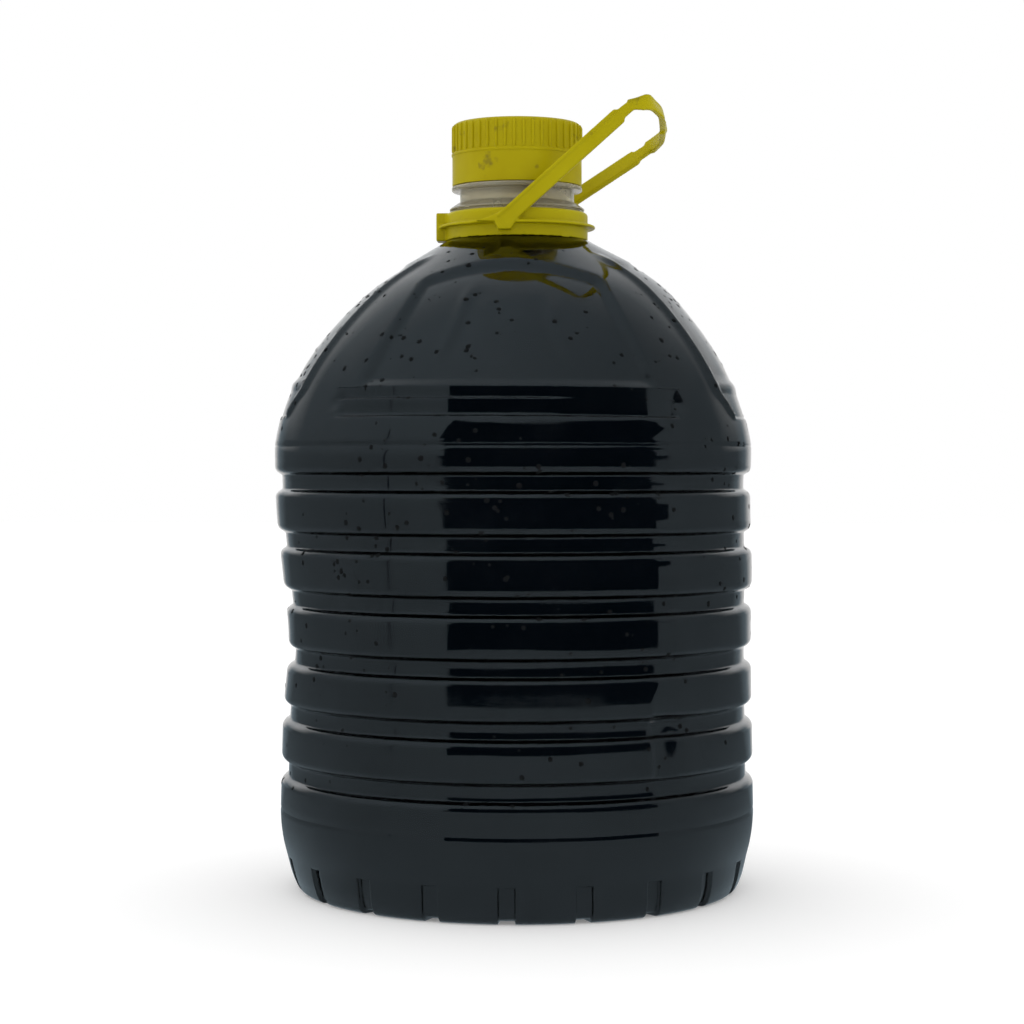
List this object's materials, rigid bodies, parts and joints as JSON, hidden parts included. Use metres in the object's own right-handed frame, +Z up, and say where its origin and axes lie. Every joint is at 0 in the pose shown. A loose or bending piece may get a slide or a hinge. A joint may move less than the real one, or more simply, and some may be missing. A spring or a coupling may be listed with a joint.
{
  "type": "vinegar jug",
  "caption": "Clear ringed jug of dark vinegar with a yellow fluted screw cap and a yellow collar with its carry bail.",
  "frame": {"origin": "on the table, at the jug's axis, under the middle of its base", "axes": "+Z up along the jug's axis, -Y towards the front shoulder panel, +X towards the side the bail leans to"},
  "size_m": [0.1816, 0.1816, 0.2957],
  "materials": {
    "clear_pet": "gloss",
    "dark_vinegar": "gloss",
    "yellow_cap": "gloss",
    "yellow_collar": "satin"
  },
  "bodies": {
    "root": {"bottle": "clear_pet", "vinegar": "dark_vinegar", "cap": "yellow_cap", "carry_handle": "yellow_collar"}
  },
  "joints": []
}
